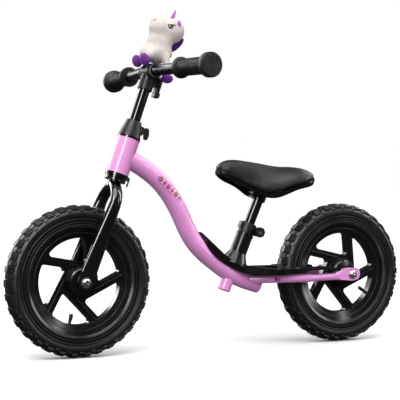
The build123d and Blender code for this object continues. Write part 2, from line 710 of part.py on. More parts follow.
with BuildPart() as shell:
    add(skirt_outside)
    add(under_cover, mode=Mode.INTERSECT)
    add(shell_outside)
    add(shell_inside, mode=Mode.SUBTRACT)
    add(skirt_hollow.part, mode=Mode.SUBTRACT)
save(shell, "saddle_shell")

RAIL_R = 3.0
with BuildPart() as rails:
    for side in SIDES:
        with BuildLine() as line:
            Spline((30, side * 5, 358), (70, side * 14, 336), (125, side * 15, 333), (172, side * 28, 343))
        with BuildSketch(Plane(origin=line.line @ 0, z_dir=line.line % 0)):
            Circle(RAIL_R)
        sweep(path=line.line)
    add(shell_inside, mode=Mode.INTERSECT)
save(rails, "saddle_rails")

CLAMP_X = 107.0
CLAMP_Z = 330.0
with BuildPart() as saddle_clamp:
    with Locations((CLAMP_X, 0, CLAMP_Z)):
        Box(30, 44, 22)
    with Locations(on(SEAT, w=198)):
        Cylinder(14.5, 28, align=UP)
    with Locations((CLAMP_X, 0, 350)):
        Box(60, 60, 18, mode=Mode.SUBTRACT)
    with Locations(on(SEAT, w=190)):
        Cylinder(POST_R, POST_TOP - 190, align=UP, mode=Mode.SUBTRACT)
    with Locations(across(CLAMP_X, 0, CLAMP_Z - 5)):
        Cylinder(3, 60, mode=Mode.SUBTRACT)
    add(rails.part, mode=Mode.SUBTRACT)
save(saddle_clamp, "saddle_clamp")

with BuildPart() as saddle_bolt:
    with Locations(across(CLAMP_X, 0, CLAMP_Z - 5)):
        Cylinder(3, 52)
    for side in SIDES:
        with BuildSketch(Plane((CLAMP_X, side * 24.2 + 2, CLAMP_Z - 5), (1, 0, 0), (0, -1, 0))):
            RegularPolygon(6, 6)
        extrude(amount=4)
save(saddle_bolt, "saddle_clamp_bolt")

# ---------------------------------------------------------------- plush toy on the handlebar


def blob(size, middle, tilt=0):
    """Egg of the given half sizes, tipped about the axis across the bike."""
    with BuildPart() as egg:
        Sphere(1)
        scale(by=size)
    return egg.part.moved(Location(middle, (0, tilt, 0)))


def fore_leg(side):
    """Ends and radius of the leg stretched forward."""
    return (-142, side * 13, 592), (-155, side * 17, 583), 10


def hind_leg(side):
    """Ends and radius of the leg that hangs behind the handlebar."""
    return (-121, side * 18, 582), (-119, side * 24, 548), 8


def hoof(size, middle, tilt, leg):
    """Egg that butts against the round end of its leg."""
    with BuildPart() as tip:
        add(blob(size, middle, tilt))
        capsule(*leg, mode=Mode.SUBTRACT)
    return tip.part


with BuildPart() as toy_body:
    add(blob((35, 24, 20.5), (-134, 0, 589)))
    add(blob((27, 20, 34), (-127, 0, 606), 8))
    add(blob((27, 24, 26), (-100.5, 0, 634)))
    add(blob((22, 20, 21), (-127, 0, 638.5)))
    for side in SIDES:
        capsule(*fore_leg(side))
        capsule(*hind_leg(side))
save(toy_body, "toy_body")

with BuildPart() as toy_hooves:
    for side in SIDES:
        add(hoof((12.8, 9.5, 10.6), (-166, side * 18.5, 573.5), 70, fore_leg(side)))
        add(hoof((12.5, 9.5, 10), (-121, side * 24.5, 538), 0, hind_leg(side)))
save(toy_hooves, "toy_hooves")

with BuildPart() as toy_horn:
    with Locations(Plane(origin=(-101.5, 0, 652), z_dir=(0.38, 0, 0.925)).location):
        Cone(6, 1.2, 26, align=UP)
    add(toy_body.part, mode=Mode.SUBTRACT)
save(toy_horn, "toy_horn")

with BuildPart() as toy_ears:
    for side in SIDES:
        add(blob((4.2, 3.4, 8.5), (-94, side * 20, 645), 5))
    add(toy_body.part, mode=Mode.SUBTRACT)
save(toy_ears, "toy_ears")

with BuildPart() as toy_mane:
    add(blob((22, 9, 8.5), (-91, 0, 607), -41))
    add(toy_body.part, mode=Mode.SUBTRACT)
save(toy_mane, "toy_mane")

with BuildPart() as toy_eyes:
    for side in SIDES:
        add(blob((4.5, 2, 5.5), (-110, side * 22.3, 640)))
    add(toy_body.part, mode=Mode.SUBTRACT)
save(toy_eyes, "toy_eyes")

with BuildPart() as toy_straps:
    for side in SIDES:
        with Locations(Location(bar_point(side * 25), (90, 0, 0))):
            Cylinder(BAR_R + 1.8, 9)
            Cylinder(BAR_R, 10, mode=Mode.SUBTRACT)
    add(toy_body.part, mode=Mode.SUBTRACT)
save(toy_straps, "toy_straps")
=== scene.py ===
"""Looks of a child's balance bike: tyres with tread, a padded saddle, a plush toy and every finish."""

import json
import math

import bmesh
import bpy
from mathutils import Matrix, Vector, noise
from mathutils.bvhtree import BVHTree


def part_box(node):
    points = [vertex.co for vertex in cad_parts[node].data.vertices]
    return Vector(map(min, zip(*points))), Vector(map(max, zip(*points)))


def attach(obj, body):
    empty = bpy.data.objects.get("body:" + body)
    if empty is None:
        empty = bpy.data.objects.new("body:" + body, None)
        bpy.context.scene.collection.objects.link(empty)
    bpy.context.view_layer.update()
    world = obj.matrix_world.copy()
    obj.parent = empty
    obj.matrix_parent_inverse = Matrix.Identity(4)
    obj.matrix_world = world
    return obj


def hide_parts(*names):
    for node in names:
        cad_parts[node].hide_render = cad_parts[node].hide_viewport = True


MM = 0.001
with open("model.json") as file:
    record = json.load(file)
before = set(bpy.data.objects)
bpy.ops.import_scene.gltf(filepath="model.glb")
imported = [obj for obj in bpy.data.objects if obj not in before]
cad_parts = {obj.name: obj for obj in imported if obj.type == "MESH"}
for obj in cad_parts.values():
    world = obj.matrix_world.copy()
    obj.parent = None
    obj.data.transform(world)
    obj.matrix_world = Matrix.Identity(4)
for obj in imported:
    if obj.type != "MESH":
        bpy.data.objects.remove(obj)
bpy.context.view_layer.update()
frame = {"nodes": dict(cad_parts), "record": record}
nodes = frame["nodes"]


# ---------------------------------------------------------------- materials
def new_material(name, colour, rough, metal=0.0):
    """Principled material with its plain numbers set on its own sockets."""
    mat = bpy.data.materials.new(name)
    mat.use_nodes = True
    shader = mat.node_tree.nodes["Principled BSDF"]
    shader.inputs["Base Color"].default_value = (*colour, 1)
    shader.inputs["Roughness"].default_value = rough
    shader.inputs["Metallic"].default_value = metal
    return mat, shader


def add_node(mat, kind, **inputs):
    node = mat.node_tree.nodes.new(kind)
    for key, value in inputs.items():
        node.inputs[key].default_value = value
    return node


def link(mat, source, target):
    mat.node_tree.links.new(source, target)


def object_coords(mat, stretch=None):
    """Coordinates in metres that stay with the piece, stretched where the grain runs one way."""
    coords = add_node(mat, "ShaderNodeTexCoord").outputs["Object"]
    if stretch is None:
        return coords
    mapping = add_node(mat, "ShaderNodeMapping", Scale=stretch)
    link(mat, coords, mapping.inputs["Vector"])
    return mapping.outputs["Vector"]


def vary_colour(mat, shader, colours, scale, coords, detail=4.0):
    """Base colour drifts between the given colours."""
    drift = add_node(mat, "ShaderNodeTexNoise", Scale=scale, Detail=detail)
    link(mat, coords, drift.inputs["Vector"])
    ramp = add_node(mat, "ShaderNodeValToRGB")
    ramp.color_ramp.elements[0].position = 0.32
    ramp.color_ramp.elements[0].color = (*colours[0], 1)
    ramp.color_ramp.elements[1].position = 0.68
    ramp.color_ramp.elements[1].color = (*colours[1], 1)
    link(mat, drift.outputs["Fac"], ramp.inputs["Fac"])
    link(mat, ramp.outputs["Color"], shader.inputs["Base Color"])


def vary_rough(mat, shader, low, high, scale, coords):
    """Roughness drifts with faint smears and handling marks."""
    smears = add_node(mat, "ShaderNodeTexNoise", Scale=scale, Detail=6.0)
    link(mat, coords, smears.inputs["Vector"])
    spread = add_node(mat, "ShaderNodeMapRange")
    spread.inputs["From Min"].default_value = 0.3
    spread.inputs["From Max"].default_value = 0.7
    spread.inputs["To Min"].default_value = low
    spread.inputs["To Max"].default_value = high
    link(mat, smears.outputs["Fac"], spread.inputs["Value"])
    link(mat, spread.outputs["Result"], shader.inputs["Roughness"])


def add_bump(mat, shader, height, depth, strength=1.0, under=None):
    """Bump of the given depth in metres, over another normal where one is given."""
    bump = add_node(mat, "ShaderNodeBump", Strength=strength, Distance=depth)
    link(mat, height, bump.inputs["Height"])
    if under is not None:
        link(mat, under, bump.inputs["Normal"])
    link(mat, bump.outputs["Normal"], shader.inputs["Normal"])
    return bump.outputs["Normal"]


def soft_edges(mat, radius):
    """Normal that rounds sharp machined edges."""
    return add_node(mat, "ShaderNodeBevel", Radius=radius).outputs["Normal"]


def noise_height(mat, scale, coords, detail=3.0, rough=0.5):
    grain = add_node(mat, "ShaderNodeTexNoise", Scale=scale, Detail=detail, Roughness=rough)
    link(mat, coords, grain.inputs["Vector"])
    return grain.outputs["Fac"]


def cell_height(mat, scale, coords):
    cells = add_node(mat, "ShaderNodeTexVoronoi", Scale=scale)
    link(mat, coords, cells.inputs["Vector"])
    return cells.outputs["Distance"]


def shade(colour, factor):
    return tuple(min(1.0, c * factor) for c in colour)


def painted(name, colour, rough, coat, ripple=0.00006):
    """Sprayed enamel under a clear coat, with faint orange peel and softly rounded edges."""
    mat, shader = new_material(name, colour, rough)
    coords = object_coords(mat)
    vary_colour(mat, shader, (shade(colour, 0.93), shade(colour, 1.05)), 14, coords)
    vary_rough(mat, shader, rough * 0.8, rough * 1.35, 32, coords)
    edges = soft_edges(mat, 0.0006)
    add_bump(mat, shader, noise_height(mat, 420, coords, 2.0), ripple, 0.5, edges)
    shader.inputs["Coat Weight"].default_value = coat
    shader.inputs["Coat Roughness"].default_value = 0.09
    return mat


def moulded(name, colour, rough, grain_scale, grain_depth, spread=0.25, edge=0.0005):
    """Injection-moulded plastic with a fine eroded grain."""
    mat, shader = new_material(name, colour, rough)
    coords = object_coords(mat)
    vary_colour(mat, shader, (shade(colour, 0.8), shade(colour, 1.3)), 40, coords)
    vary_rough(mat, shader, rough * (1 - spread), rough * (1 + spread), 60, coords)
    edges = soft_edges(mat, edge)
    add_bump(mat, shader, noise_height(mat, grain_scale, coords, 4.0, 0.7), grain_depth, 0.6, edges)
    return mat


def brushed(name, colour, rough, stretch, depth=0.00004):
    """Drawn or turned metal with fine lines along its length."""
    mat, shader = new_material(name, colour, rough, 1.0)
    coords = object_coords(mat, stretch)
    plain = object_coords(mat)
    vary_colour(mat, shader, (shade(colour, 0.82), shade(colour, 1.15)), 30, plain)
    vary_rough(mat, shader, rough * 0.75, rough * 1.4, 900, coords)
    edges = soft_edges(mat, 0.0003)
    add_bump(mat, shader, noise_height(mat, 1500, coords, 3.0), depth, 0.4, edges)
    return mat


def leathered(name, colour, rough):
    """PVC cover with a pebbled grain and fine creases."""
    mat, shader = new_material(name, colour, rough)
    coords = object_coords(mat)
    vary_colour(mat, shader, (shade(colour, 0.75), shade(colour, 1.35)), 55, coords)
    vary_rough(mat, shader, rough * 0.85, rough * 1.2, 90, coords)
    creases = add_bump(mat, shader, noise_height(mat, 130, coords, 5.0, 0.65), 0.0004, 0.35)
    add_bump(mat, shader, cell_height(mat, 1100, coords), 0.00022, 0.55, creases)
    shader.inputs["Specular IOR Level"].default_value = 0.42
    return mat


def foam_rubber(name, colour, rough):
    """Skinned foam with tiny closed cells and a dusty bloom."""
    mat, shader = new_material(name, colour, rough)
    coords = object_coords(mat)
    vary_colour(mat, shader, (shade(colour, 0.7), shade(colour, 1.5)), 26, coords, 8.0)
    vary_rough(mat, shader, rough * 0.82, rough * 1.2, 70, coords)
    first = add_bump(mat, shader, noise_height(mat, 900, coords, 4.0, 0.7), 0.0002, 0.5)
    add_bump(mat, shader, cell_height(mat, 2200, coords), 0.00012, 0.5, first)
    return mat


def piled(name, colour, lump, pile, sheen, tint):
    """Short-pile plush or felt: matted tufts, colour that drifts and a soft sheen at the rim."""
    mat, shader = new_material(name, colour, 0.95)
    coords = object_coords(mat)
    vary_colour(mat, shader, (shade(colour, 0.86), shade(colour, 1.08)), pile * 0.4, coords, 6.0)
    tufts = add_bump(mat, shader, noise_height(mat, lump, coords, 5.0, 0.65), 0.0012, 0.5)
    add_bump(mat, shader, noise_height(mat, pile, coords, 6.0, 0.8), 0.0005, 0.8, tufts)
    shader.inputs["Sheen Weight"].default_value = sheen
    shader.inputs["Sheen Roughness"].default_value = 0.45
    shader.inputs["Sheen Tint"].default_value = (*tint, 1)
    shader.inputs["Specular IOR Level"].default_value = 0.12
    return mat


def woven(name, colour):
    """Polyester webbing with crossed ribs."""
    mat, shader = new_material(name, colour, 0.8)
    coords = object_coords(mat)
    vary_colour(mat, shader, (shade(colour, 0.7), shade(colour, 1.5)), 300, coords)
    warp = add_node(mat, "ShaderNodeTexWave", Scale=420, Distortion=0.4)
    warp.bands_direction = "Y"
    weft = add_node(mat, "ShaderNodeTexWave", Scale=420, Distortion=0.4)
    weft.bands_direction = "X"
    for wave in (warp, weft):
        link(mat, coords, wave.inputs["Vector"])
    first = add_bump(mat, shader, warp.outputs["Fac"], 0.0003, 0.6)
    add_bump(mat, shader, weft.outputs["Fac"], 0.0003, 0.6, first)
    shader.inputs["Sheen Weight"].default_value = 0.3
    return mat


def glossy_eye(name, colour):
    mat, shader = new_material(name, colour, 0.08)
    coords = object_coords(mat)
    vary_colour(mat, shader, (shade(colour, 0.6), shade(colour, 2.0)), 160, coords)
    vary_rough(mat, shader, 0.05, 0.14, 200, coords)
    shader.inputs["Coat Weight"].default_value = 1.0
    return mat


def printed(name, colour):
    """Screen-printed ink on the paint, slightly uneven and worn."""
    mat, shader = new_material(name, colour, 0.36)
    coords = object_coords(mat)
    vary_colour(mat, shader, (shade(colour, 0.6), shade(colour, 1.35)), 620, coords, 6.0)
    vary_rough(mat, shader, 0.28, 0.5, 240, coords)
    add_bump(mat, shader, noise_height(mat, 1600, coords, 3.0), 0.00005, 0.4)
    return mat


def embroidered(name, colour):
    """Satin stitch: close parallel threads with a soft shine."""
    mat, shader = new_material(name, colour, 0.45)
    coords = object_coords(mat)
    vary_colour(mat, shader, (shade(colour, 0.65), shade(colour, 1.3)), 900, coords)
    threads = add_node(mat, "ShaderNodeTexWave", Scale=700, Distortion=0.6)
    threads.bands_direction = "DIAGONAL"
    link(mat, coords, threads.inputs["Vector"])
    add_bump(mat, shader, threads.outputs["Fac"], 0.0002, 0.6)
    shader.inputs["Sheen Weight"].default_value = 0.3
    return mat


# The record's own finishes, then those of pieces that only this script makes.
slots = {
    "frame_paint": painted("frame_paint", (0.93, 0.37, 0.80), 0.27, 0.7),
    "black_gloss_metal": painted("black_gloss_metal", (0.003, 0.003, 0.0034), 0.16, 0.9, 0.00004),
    "bar_metal": brushed("bar_metal", (0.075, 0.07, 0.07), 0.28, (1, 0.08, 1)),
    "black_plastic": moulded("black_plastic", (0.007, 0.007, 0.0075), 0.42, 1500, 0.00014),
    "gloss_plastic": moulded("gloss_plastic", (0.0045, 0.0045, 0.005), 0.2, 700, 0.00005),
    "rim_plastic": moulded("rim_plastic", (0.005, 0.005, 0.0055), 0.19, 900, 0.00004, 0.2, 0.0014),
    "tyre_foam": foam_rubber("tyre_foam", (0.0095, 0.009, 0.009), 0.34),
    "grip_rubber": foam_rubber("grip_rubber", (0.0075, 0.0075, 0.008), 0.46),
    "bare_steel": brushed("bare_steel", (0.55, 0.55, 0.57), 0.3, (1, 1, 0.1)),
    "axle_bolt_steel": brushed("axle_bolt_steel", (0.8, 0.74, 0.76), 0.2, (1, 1, 1)),
    "saddle_cover": leathered("saddle_cover", (0.009, 0.009, 0.0092), 0.42),
    "plush_white": piled("plush_white", (0.74, 0.67, 0.635), 260, 1500, 0.5, (1, 0.96, 0.94)),
    "plush_purple": piled("plush_purple", (0.175, 0.04, 0.30), 420, 1900, 0.35, (0.8, 0.6, 1)),
    "plush_mane": piled("plush_mane", (0.045, 0.012, 0.16), 300, 1300, 0.3, (0.6, 0.5, 1)),
    "plush_lilac": piled("plush_lilac", (0.47, 0.17, 0.52), 420, 1900, 0.35, (1, 0.8, 1)),
    "toy_eye": glossy_eye("toy_eye", (0.008, 0.007, 0.010)),
    "strap_webbing": woven("strap_webbing", (0.012, 0.012, 0.012)),
    # The rim's raised beads are real, but their lighter grey than the black rim is a painted highlight.
    "rim_detail": moulded("rim_detail", (0.028, 0.028, 0.03), 0.16, 900, 0.00003, 0.2, 0.0001),
    # The knurl's teeth are a lighter grey than the black rim they are moulded on: painted highlight
    # along the ring of teeth.
    "rim_knurl": moulded("rim_knurl", (0.075, 0.075, 0.078), 0.2, 900, 0.00003, 0.2, 0.0001),
    "eye_thread": embroidered("eye_thread", (0.004, 0.0035, 0.005)),
    # Eye spots in white thread: painted highlight.
    "eye_painted_highlight": embroidered("eye_painted_highlight", (0.85, 0.83, 0.86)),
    "mark_warm": printed("mark_warm", (0.30, 0.055, 0.03)),
    "mark_pale": printed("mark_pale", (0.80, 0.42, 0.30)),
}
node_slot = {part["node"]: part["material_slot"] for part in frame["record"]["subparts"]}
for node, slot_name in node_slot.items():
    mesh = nodes[node].data
    mesh.materials.clear()
    mesh.materials.append(slots[slot_name])


# ---------------------------------------------------------------- mesh helpers
def plain_piece(name, bm, finish, body, smooth=True):
    """Object from a bmesh whose points are already in the row frame."""
    mesh = bpy.data.meshes.new(name)
    bmesh.ops.recalc_face_normals(bm, faces=bm.faces)
    bm.to_mesh(mesh)
    bm.free()
    for face in mesh.polygons:
        face.use_smooth = smooth
    mesh.materials.append(slots[finish])
    piece = bpy.data.objects.new(name, mesh)
    bpy.context.scene.collection.objects.link(piece)
    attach(piece, body)
    return piece


def new_piece(name, bm, slot_name, body, smooth=True, finish=None):
    """Piece in the finish of one of the record's material slots, or in a variant finish where one is
    given.
    """
    piece = plain_piece(name, bm, finish or slot_name, body, smooth)
    return piece


def join_rings(bm, here, there):
    """Faces between two closed rings of as many points."""
    count = len(here)
    for k in range(count):
        j = (k + 1) % count
        bm.faces.new((here[k], here[j], there[j], there[k]))


def apply_modifiers(piece):
    """Bakes a piece's modifiers into its mesh."""
    graph = bpy.context.evaluated_depsgraph_get()
    baked = bpy.data.meshes.new_from_object(piece.evaluated_get(graph))
    piece.modifiers.clear()
    piece.data = baked


def middle(node):
    low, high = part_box(node)
    return (low + high) / 2


def wheel_point(centre, y, r, angle):
    return centre + Vector((r * math.cos(angle), y, r * math.sin(angle)))


def add_tube(bm, points, radius, closed, sides=6):
    """Round bead along a line of points, turning as little as it can from one to the next."""
    count = len(points)
    rings = []
    first = None
    for i, point in enumerate(points):
        after = points[(i + 1) % count] if closed else points[min(i + 1, count - 1)]
        before = points[i - 1] if closed else points[max(i - 1, 0)]
        along = (after - before).normalized()
        if first is None:
            first = along.orthogonal()
        else:
            first = first - along * first.dot(along)
        first.normalize()
        second = along.cross(first)
        ring = []
        for k in range(sides):
            a = 2 * math.pi * k / sides
            offset = (first * math.cos(a) + second * math.sin(a)) * radius
            ring.append(bm.verts.new(point + offset))
        rings.append(ring)
    for i in range(count if closed else count - 1):
        join_rings(bm, rings[i], rings[(i + 1) % count])
    if not closed:
        bm.faces.new(rings[0])
        bm.faces.new(rings[-1])


def surface_of(piece):
    """Search tree over an object's mesh, for laying thin pieces on it."""
    corners = [v.co for v in piece.data.vertices]
    faces = [tuple(face.vertices) for face in piece.data.polygons]
    return BVHTree.FromPolygons(corners, faces)


def laid(tree, x, z, side, lift):
    """Point on a surface met by a line across the bike at x and z, lifted off it."""
    spot, normal, _, _ = tree.ray_cast(Vector((x, side * 0.2, z)), Vector((0, -side, 0)))
    if spot is None:
        return None
    if normal.y * side < 0:
        normal = -normal
    return spot + normal * lift


def add_spot(bm, tree, centre, half_x, half_z, side, lift, sides=28):
    """Thin oval laid on a surface, its middle lifted off it. Its centre and half sizes are in mm."""
    rings = []
    for part in (0.02, 0.35, 0.7, 1.0):
        ring = []
        for k in range(sides):
            a = 2 * math.pi * k / sides
            x = centre[0] + half_x * part * math.cos(a)
            z = centre[1] + half_z * part * math.sin(a)
            point = laid(tree, x * MM, z * MM, side, lift if part < 1 else 0.0)
            if point is None:
                return
            ring.append(bm.verts.new(point))
        rings.append(ring)
    bm.faces.new(rings[0])
    for inner, outer in zip(rings, rings[1:]):
        join_rings(bm, inner, outer)


# ---------------------------------------------------------------- tyres
# Sizes in mm. Profiles and blocks are pairs of the place across the wheel and the radius.
BLOCKS = 34
PITCH = 2 * math.pi / BLOCKS
TREAD_RADIUS = 143
DRAFT = 0.9
CARCASS = [
    (0, 141), (8.5, 141), (12.5, 140.2), (16, 138.2), (19, 135), (21.2, 131.6), (21.9, 129.6),
    (21.5, 129.0), (21.9, 128.4), (21.6, 127.2), (21.1, 126.7), (21.5, 126.1), (21.0, 124.6),
    (20.3, 124.1), (20.6, 123.4), (19.8, 122.2), (18.4, 121.35), (17, 121.1), (17, 113.2),
]
CENTRE_BLOCK = ((-6.2, 145.9), (6.2, 145.9))
INNER_BLOCK = ((2.4, 143.8), (6.6, 143.6))
OUTER_BLOCK = ((8.2, 143.5), (12.8, 142.4))
SHOULDER_BLOCK = ((10.4, 145.3), (19.6, 139.6))
EDGE_RIB = ((15.6, 141.2), (21.3, 135.4))


def add_carcass(bm, centre):
    """Ring of foam under the tread, with fine ribs moulded round its sidewalls."""
    profile = [(-y, r) for y, r in reversed(CARCASS[1:])] + CARCASS
    steps = BLOCKS * 5
    rows = []
    for k in range(steps):
        angle = 2 * math.pi * k / steps
        rows.append([bm.verts.new(wheel_point(centre, y * MM, r * MM, angle)) for y, r in profile])
    for k in range(steps):
        join_rings(bm, rows[k], rows[(k + 1) % steps])


def add_block(bm, centre, ends, angle, arc, depth=6.0):
    """Tread block: a drafted tile on the crown, its foot inside the foam."""
    (y0, r0), (y1, r1) = ends
    across_dir = Vector((y1 - y0, r1 - r0)).normalized()
    down = Vector((across_dir.y, -across_dir.x))
    if down.y > 0:
        down = -down
    half = arc / 2 / TREAD_RADIUS
    corners = []
    for level, grow in ((0.0, 0.0), (depth, DRAFT)):
        for (y, r), side in (((y0, r0), -1), ((y1, r1), 1)):
            yy = y + across_dir.x * side * grow + down.x * level
            rr = r + across_dir.y * side * grow + down.y * level
            for turn in (-1, 1):
                a = angle + turn * (half + grow / TREAD_RADIUS)
                corners.append(bm.verts.new(wheel_point(centre, yy * MM, rr * MM, a)))
    top = (corners[0], corners[1], corners[3], corners[2])
    foot = (corners[4], corners[5], corners[7], corners[6])
    bm.faces.new(top)
    bm.faces.new(tuple(reversed(foot)))
    for k in range(4):
        bm.faces.new((top[k], foot[k], foot[(k + 1) % 4], top[(k + 1) % 4]))


def flipped(ends):
    return tuple((-y, r) for y, r in ends)


def make_tyre(side):
    """Foam tyre: ribbed carcass and rows of staggered blocks."""
    centre = middle(f"{side}_tyre")
    carcass = bmesh.new()
    add_carcass(carcass, centre)
    body = new_piece(f"{side}_tyre_carcass", carcass, "tyre_foam", f"{side}_wheel")
    blocks = bmesh.new()
    for k in range(BLOCKS):
        a, b = k * PITCH, (k + 0.5) * PITCH
        add_block(blocks, centre, CENTRE_BLOCK, a, 14.0)
        for ends in (SHOULDER_BLOCK, flipped(SHOULDER_BLOCK)):
            add_block(blocks, centre, ends, a, 12.0, 6.0)
        for ends in (INNER_BLOCK, flipped(INNER_BLOCK), OUTER_BLOCK, flipped(OUTER_BLOCK)):
            add_block(blocks, centre, ends, b, 10.0, 5.0)
        for ends in (EDGE_RIB, flipped(EDGE_RIB)):
            add_block(blocks, centre, ends, b, 7.0, 3.5)
    tread = new_piece(f"{side}_tyre_tread", blocks, "tyre_foam", f"{side}_wheel", False)
    rounding = tread.modifiers.new("rounding", "BEVEL")
    rounding.width = 0.45 * MM
    rounding.segments = 2
    apply_modifiers(tread)
    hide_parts(f"{side}_tyre")


for side in ("front", "rear"):
    make_tyre(side)


# ---------------------------------------------------------------- rims
TEETH = 150
TOOTH_ENDS = ((17.6, 103.4), (19.6, 106.6))
TOOTH_RISE, TOOTH_FOOT = 0.75, -0.3
RIM_BEADS = ((20.1, 108.3, 0.8), (20.0, 113.2, 0.5), (20.1, 119.7, 0.9), (13.4, 93.6, 0.6))
BEAD_STEPS = 144
CAP_PROFILE = ((-2, 3.0, 0), (-1.6, 3.7, 0.25), (5.8, 3.5, 0.25), (7.4, 3.1, 0), (8.0, 2.0, 0))
CAP_STEPS = 48


def make_knurl(side):
    """Ring of fine teeth moulded on each face of the rim."""
    centre = middle(f"{side}_rim")
    bm = bmesh.new()
    half = math.pi / TEETH * 0.5
    for face in (-1, 1):
        for k in range(TEETH):
            angle = 2 * math.pi * k / TEETH
            rows = []
            for y, r in TOOTH_ENDS:
                for a, up in (
                    (angle - half, TOOTH_FOOT),
                    (angle, TOOTH_RISE),
                    (angle + half, TOOTH_FOOT),
                ):
                    spot = wheel_point(centre, face * (y + up) * MM, r * MM, a)
                    rows.append(bm.verts.new(spot))
            a0, a1, a2, b0, b1, b2 = rows
            bm.faces.new((a0, a1, b1, b0))
            bm.faces.new((a1, a2, b2, b1))
            bm.faces.new((a0, a2, a1))
            bm.faces.new((b0, b1, b2))
            bm.faces.new((a0, b0, b2, a2))
    # The teeth take the lighter grey finish, a painted highlight.
    new_piece(f"{side}_rim_knurl", bm, "rim_plastic", f"{side}_wheel", False, "rim_knurl")


def make_rim_rings(side):
    """Raised beads moulded round each face of the rim."""
    centre = middle(f"{side}_rim")
    bm = bmesh.new()
    for face in (-1, 1):
        for y, r, thick in RIM_BEADS:
            points = [
                wheel_point(centre, face * y * MM, r * MM, 2 * math.pi * k / BEAD_STEPS)
                for k in range(BEAD_STEPS)
            ]
            add_tube(bm, points, thick * MM, True)
    # The beads take the lighter grey finish: painted highlight on real beads.
    new_piece(f"{side}_rim_rings", bm, "rim_plastic", f"{side}_wheel", True, "rim_detail")


def make_valve_cap(side):
    """Ribbed cap screwed over the end of the valve."""
    stub = middle(f"{side}_valve_stub")
    inward = (middle(f"{side}_rim") - stub).normalized()
    first = inward.cross(Vector((0, 1, 0))).normalized()
    second = inward.cross(first)
    bm = bmesh.new()
    rows = []
    for along, r, rib in CAP_PROFILE:
        ring = []
        for k in range(CAP_STEPS):
            a = 2 * math.pi * k / CAP_STEPS
            reach = (r + rib * (1 if k % 4 < 2 else -1)) * MM
            out = (first * math.cos(a) + second * math.sin(a)) * reach
            ring.append(bm.verts.new(stub + inward * along * MM + out))
        rows.append(ring)
    for here, there in zip(rows, rows[1:]):
        join_rings(bm, here, there)
    bm.faces.new(rows[0])
    bm.faces.new(rows[-1])
    new_piece(f"{side}_valve_cap", bm, "black_plastic", f"{side}_wheel", False)


for side in ("front", "rear"):
    make_knurl(side)
    make_rim_rings(side)
    make_valve_cap(side)


# ---------------------------------------------------------------- soft goods
SIM_FRAMES = 20
PILE_SCALE = 420


def soft_copy(name, node, slot_name, voxel, shrink):
    """Closed, evenly divided copy of a CAD solid, drawn in a little so that it can swell."""
    piece = bpy.data.objects.new(name, nodes[node].data.copy())
    bpy.context.scene.collection.objects.link(piece)
    piece.data.materials.clear()
    piece.data.materials.append(slots[slot_name])
    remesh = piece.modifiers.new("remesh", "REMESH")
    remesh.mode = "VOXEL"
    remesh.voxel_size = voxel
    apply_modifiers(piece)
    if shrink:
        moved = [v.co - v.normal * shrink for v in piece.data.vertices]
        for v, co in zip(piece.data.vertices, moved):
            v.co = co
    return piece


def fill_creases(piece, rounds, steps):
    """Rounds off the inside corners between a toy's joined parts and leaves its outline alone."""
    for _ in range(rounds):
        was = [(v.co.copy(), v.normal.copy()) for v in piece.data.vertices]
        smooth = piece.modifiers.new("smooth", "SMOOTH")
        smooth.factor = 0.5
        smooth.iterations = steps
        apply_modifiers(piece)
        for v, (co, normal) in zip(piece.data.vertices, was):
            if (v.co - co).dot(normal) < 0:
                v.co = co


def inflate(piece, pressure, cap):
    """Swells a piece as filled fabric, and limits how far any point may move."""
    start = [v.co.copy() for v in piece.data.vertices]
    cloth = piece.modifiers.new("filled", "CLOTH")
    cloth.settings.use_pressure = True
    cloth.settings.uniform_pressure_force = pressure
    cloth.settings.effector_weights.gravity = 0
    cloth.settings.quality = 5
    cloth.settings.tension_stiffness = 20
    cloth.settings.compression_stiffness = 20
    cloth.settings.bending_stiffness = 2
    cloth.point_cache.frame_start = 1
    cloth.point_cache.frame_end = SIM_FRAMES
    for number in range(1, SIM_FRAMES + 1):
        bpy.context.scene.frame_set(number)
    apply_modifiers(piece)
    bpy.context.scene.frame_set(1)
    for v, was in zip(piece.data.vertices, start):
        step = v.co - was
        if step.length > cap:
            v.co = was + step.normalized() * cap


def finish_soft(piece, body, node, smooth_steps=4, tuft=0.0):
    """Smooths and divides a filled piece once, and ruffles its pile where it has any."""
    smooth = piece.modifiers.new("smooth", "SMOOTH")
    smooth.factor = 0.5
    smooth.iterations = smooth_steps
    fine = piece.modifiers.new("fine", "SUBSURF")
    fine.levels = 1
    fine.render_levels = 1
    apply_modifiers(piece)
    if tuft:
        moved = [
            v.co + v.normal * noise.fractal(v.co * PILE_SCALE, 0.8, 2.1, 3) * tuft
            for v in piece.data.vertices
        ]
        for v, co in zip(piece.data.vertices, moved):
            v.co = co
    for face in piece.data.polygons:
        face.use_smooth = True
    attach(piece, body)
    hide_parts(node)


PRESSURE = 2
cushion = soft_copy("saddle_padding", "saddle_cushion", "saddle_cover", 4 * MM, 0.8 * MM)
inflate(cushion, PRESSURE, 3 * MM)
finish_soft(cushion, "seat", "saddle_cushion")

for node, voxel, shrink, cap in (
    ("toy_body", 2.8, 0.6, 2.5),
    ("toy_hooves", 1.8, 0.2, 1.2),
    ("toy_mane", 1.8, 0.2, 1.5),
    ("toy_ears", 1.0, 0.0, 0.6),
    ("toy_horn", 0.8, 0.0, 0.6),
):
    soft = soft_copy(f"{node}_plush", node, node_slot[node], voxel * MM, shrink * MM)
    if node == "toy_body":
        fill_creases(soft, 5, 14)
    inflate(soft, PRESSURE, cap * MM)
    finish_soft(soft, "handlebar", node, 6 if node == "toy_body" else 2, 0.35 * MM)


# ---------------------------------------------------------------- toy's face and straps
# Places are x and z in mm, lifts in metres.
EYE = (-111.5, 640.2)
LID = ((-117.5, 643.4), (-103.2, 641.0))
LASHES = (((-106.5, 643.3), (-101.6, 645.6)), ((-104.8, 641.6), (-99.8, 642.6)))
NOSTRIL = ((-142.0, 650.4), (-136.2, 654.8))
